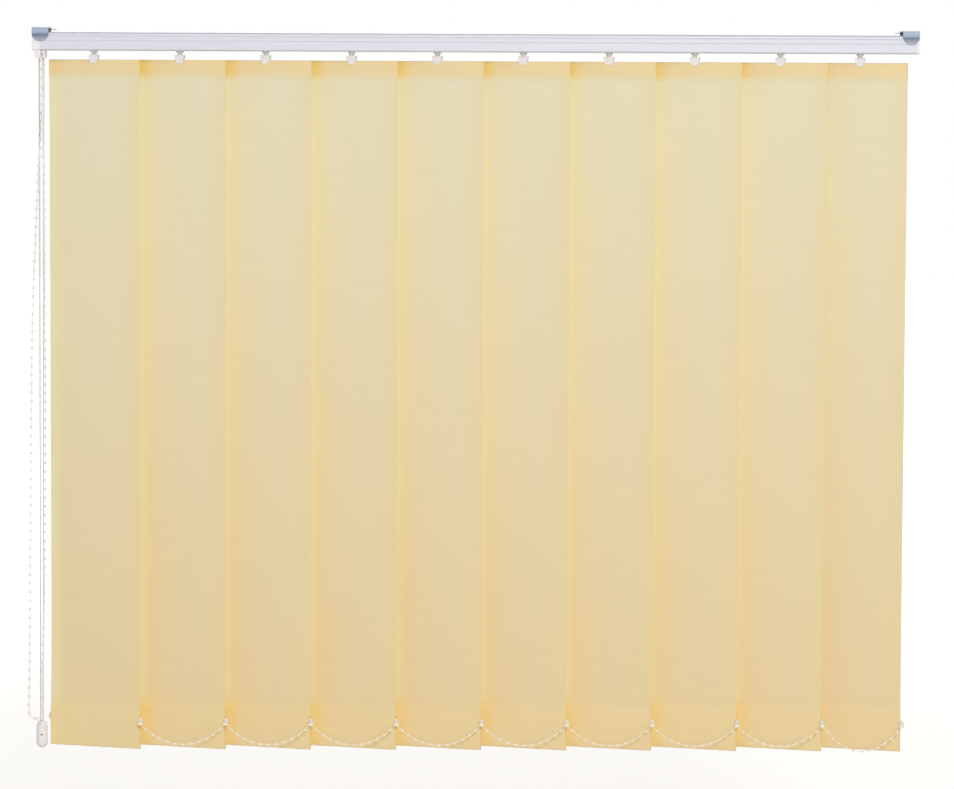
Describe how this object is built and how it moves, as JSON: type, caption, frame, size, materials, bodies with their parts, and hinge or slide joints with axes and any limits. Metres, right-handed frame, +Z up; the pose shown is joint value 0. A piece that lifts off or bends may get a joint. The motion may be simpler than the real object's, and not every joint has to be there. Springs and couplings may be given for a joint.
{
  "type": "vertical blind",
  "caption": "Vertical blind with overlapping pale yellow fabric vanes under a white head rail, with ceiling clips, bottom chains, a bead chain that tilts the vanes and a draw cord.",
  "frame": {"origin": "on the ceiling plane, midway between the two ceiling screw holes", "axes": "+X along the rail from the control end to the stack end, +Y to the window, +Z up"},
  "size_m": [1.1608, 0.0561, 0.9495],
  "materials": {
    "rail_enamel": "satin white enamel on extruded aluminium",
    "white_plastic": "moulded white plastic",
    "carrier_plastic": "moulded acetal, off-white",
    "chain_plastic": "moulded beads on a thread",
    "cord_fibre": "braided polyester",
    "clip_steel": "zinc-plated sheet steel",
    "spring_steel": "blued spring steel",
    "rod_aluminium": "drawn, plain",
    "vane_fabric": "woven polyester, pale yellow"
  },
  "bodies": {
    "headrail": {"headrail": "rail_enamel", "control_end_cap": "white_plastic", "idle_end_cap": "white_plastic", "left_bracket": "clip_steel", "right_bracket": "clip_steel", "left_spring": "spring_steel", "right_spring": "spring_steel", "control_chain": "chain_plastic", "draw_cord": "cord_fibre", "cord_weight": "white_plastic", "carrier_10": "carrier_plastic"},
    "tilt_rod": {"tilt_rod": "rod_aluminium", "chain_sprocket": "carrier_plastic"},
    "front_chain": {"front_chain": "chain_plastic"},
    "rear_chain": {"rear_chain": "chain_plastic"},
    "upper_guide_pulley": {"upper_guide_pulley": "carrier_plastic"},
    "lower_guide_pulley": {"lower_guide_pulley": "carrier_plastic"},
    "return_pulley": {"return_pulley": "carrier_plastic"},
    "carrier_1": {"carrier_1": "carrier_plastic"},
    "vane_1": {"hook_1": "white_plastic", "vane_1": "vane_fabric", "weight_1": "white_plastic"},
    "carrier_2": {"carrier_2": "carrier_plastic"},
    "vane_2": {"hook_2": "white_plastic", "vane_2": "vane_fabric", "weight_2": "white_plastic"},
    "carrier_3": {"carrier_3": "carrier_plastic"},
    "vane_3": {"hook_3": "white_plastic", "vane_3": "vane_fabric", "weight_3": "white_plastic"},
    "carrier_4": {"carrier_4": "carrier_plastic"},
    "vane_4": {"hook_4": "white_plastic", "vane_4": "vane_fabric", "weight_4": "white_plastic"},
    "carrier_5": {"carrier_5": "carrier_plastic"},
    "vane_5": {"hook_5": "white_plastic", "vane_5": "vane_fabric", "weight_5": "white_plastic"},
    "carrier_6": {"carrier_6": "carrier_plastic"},
    "vane_6": {"hook_6": "white_plastic", "vane_6": "vane_fabric", "weight_6": "white_plastic"},
    "carrier_7": {"carrier_7": "carrier_plastic"},
    "vane_7": {"hook_7": "white_plastic", "vane_7": "vane_fabric", "weight_7": "white_plastic"},
    "carrier_8": {"carrier_8": "carrier_plastic"},
    "vane_8": {"hook_8": "white_plastic", "vane_8": "vane_fabric", "weight_8": "white_plastic"},
    "carrier_9": {"carrier_9": "carrier_plastic"},
    "vane_9": {"hook_9": "white_plastic", "vane_9": "vane_fabric", "weight_9": "white_plastic"},
    "vane_10": {"hook_10": "white_plastic", "vane_10": "vane_fabric", "weight_10": "white_plastic"}
  },
  "joints": [
    {"name": "draw", "type": "slide", "parent": "headrail", "child": "carrier_1", "axis": [1, 0, 0], "range_m": [0, 0.748], "deforming": ["front_chain", "rear_chain"]},
    {"name": "draw_2", "type": "slide", "parent": "headrail", "child": "carrier_2", "axis": [1, 0, 0], "range_m": [0, 0.664]},
    {"name": "draw_3", "type": "slide", "parent": "headrail", "child": "carrier_3", "axis": [1, 0, 0], "range_m": [0, 0.58]},
    {"name": "draw_4", "type": "slide", "parent": "headrail", "child": "carrier_4", "axis": [1, 0, 0], "range_m": [0, 0.496]},
    {"name": "draw_5", "type": "slide", "parent": "headrail", "child": "carrier_5", "axis": [1, 0, 0], "range_m": [0, 0.412]},
    {"name": "draw_6", "type": "slide", "parent": "headrail", "child": "carrier_6", "axis": [1, 0, 0], "range_m": [0, 0.328]},
    {"name": "draw_7", "type": "slide", "parent": "headrail", "child": "carrier_7", "axis": [1, 0, 0], "range_m": [0, 0.244]},
    {"name": "draw_8", "type": "slide", "parent": "headrail", "child": "carrier_8", "axis": [1, 0, 0], "range_m": [0, 0.16]},
    {"name": "draw_9", "type": "slide", "parent": "headrail", "child": "carrier_9", "axis": [1, 0, 0], "range_m": [0, 0.076]},
    {"name": "tilt", "type": "hinge", "parent": "headrail", "child": "vane_10", "pos_m": [0.502, 0, -0.035], "axis": [0, 0, -1], "range_deg": [0, 143], "deforming": ["control_chain"]},
    {"name": "tilt_9", "type": "hinge", "parent": "carrier_9", "child": "vane_9", "pos_m": [0.398, 0, -0.035], "axis": [0, 0, -1], "range_deg": [0, 143]},
    {"name": "tilt_8", "type": "hinge", "parent": "carrier_8", "child": "vane_8", "pos_m": [0.286, 0, -0.035], "axis": [0, 0, -1], "range_deg": [0, 143]},
    {"name": "tilt_7", "type": "hinge", "parent": "carrier_7", "child": "vane_7", "pos_m": [0.174, 0, -0.035], "axis": [0, 0, -1], "range_deg": [0, 143]},
    {"name": "tilt_6", "type": "hinge", "parent": "carrier_6", "child": "vane_6", "pos_m": [0.062, 0, -0.035], "axis": [0, 0, -1], "range_deg": [0, 143]},
    {"name": "tilt_5", "type": "hinge", "parent": "carrier_5", "child": "vane_5", "pos_m": [-0.05, 0, -0.035], "axis": [0, 0, -1], "range_deg": [0, 143]},
    {"name": "tilt_4", "type": "hinge", "parent": "carrier_4", "child": "vane_4", "pos_m": [-0.162, 0, -0.035], "axis": [0, 0, -1], "range_deg": [0, 143]},
    {"name": "tilt_3", "type": "hinge", "parent": "carrier_3", "child": "vane_3", "pos_m": [-0.274, 0, -0.035], "axis": [0, 0, -1], "range_deg": [0, 143]},
    {"name": "tilt_2", "type": "hinge", "parent": "carrier_2", "child": "vane_2", "pos_m": [-0.386, 0, -0.035], "axis": [0, 0, -1], "range_deg": [0, 143]},
    {"name": "tilt_1", "type": "hinge", "parent": "carrier_1", "child": "vane_1", "pos_m": [-0.498, 0, -0.035], "axis": [0, 0, -1], "range_deg": [0, 143]},
    {"name": "rod_turn", "type": "hinge", "parent": "headrail", "child": "tilt_rod", "pos_m": [0, -0.0085, -0.02], "axis": [1, 0, 0], "range_deg": [0, 1716]},
    {"name": "front_chain_swing", "type": "hinge", "parent": "vane_10", "child": "front_chain", "pos_m": [0.56297, -0.0242, -0.908], "axis": [0, 0, -1], "range_deg": [-143, 0]},
    {"name": "rear_chain_swing", "type": "hinge", "parent": "vane_10", "child": "rear_chain", "pos_m": [0.44103, 0.0242, -0.908], "axis": [0, 0, -1], "range_deg": [-143, 0]},
    {"name": "upper_guide_pulley_turn", "type": "hinge", "parent": "headrail", "child": "upper_guide_pulley", "pos_m": [-0.567, 0.0145, -0.016], "axis": [0, -1, 0], "range_deg": [0, 10724]},
    {"name": "lower_guide_pulley_turn", "type": "hinge", "parent": "headrail", "child": "lower_guide_pulley", "pos_m": [-0.561, 0.0145, -0.024], "axis": [0, 1, 0], "range_deg": [0, 10724]},
    {"name": "return_pulley_turn", "type": "hinge", "parent": "headrail", "child": "return_pulley", "pos_m": [0.563, 0.0145, -0.016], "axis": [0, -1, 0], "range_deg": [0, 10724]}
  ],
  "couplings": [
    {"joint": "draw_2", "follows": "draw", "ratio": 0.8877},
    {"joint": "draw_3", "follows": "draw", "ratio": 0.7754},
    {"joint": "draw_4", "follows": "draw", "ratio": 0.6631},
    {"joint": "draw_5", "follows": "draw", "ratio": 0.5508},
    {"joint": "draw_6", "follows": "draw", "ratio": 0.4385},
    {"joint": "draw_7", "follows": "draw", "ratio": 0.3262},
    {"joint": "draw_8", "follows": "draw", "ratio": 0.2139},
    {"joint": "draw_9", "follows": "draw", "ratio": 0.1016},
    {"joint": "tilt_9", "follows": "tilt", "ratio": 1},
    {"joint": "tilt_8", "follows": "tilt", "ratio": 1},
    {"joint": "tilt_7", "follows": "tilt", "ratio": 1},
    {"joint": "tilt_6", "follows": "tilt", "ratio": 1},
    {"joint": "tilt_5", "follows": "tilt", "ratio": 1},
    {"joint": "tilt_4", "follows": "tilt", "ratio": 1},
    {"joint": "tilt_3", "follows": "tilt", "ratio": 1},
    {"joint": "tilt_2", "follows": "tilt", "ratio": 1},
    {"joint": "tilt_1", "follows": "tilt", "ratio": 1},
    {"joint": "rod_turn", "follows": "tilt", "ratio": 12},
    {"joint": "front_chain_swing", "follows": "tilt", "ratio": -1},
    {"joint": "rear_chain_swing", "follows": "tilt", "ratio": -1},
    {"joint": "upper_guide_pulley_turn", "follows": "draw", "rad_per_m": 250},
    {"joint": "lower_guide_pulley_turn", "follows": "draw", "rad_per_m": 250},
    {"joint": "return_pulley_turn", "follows": "draw", "rad_per_m": 250}
  ]
}
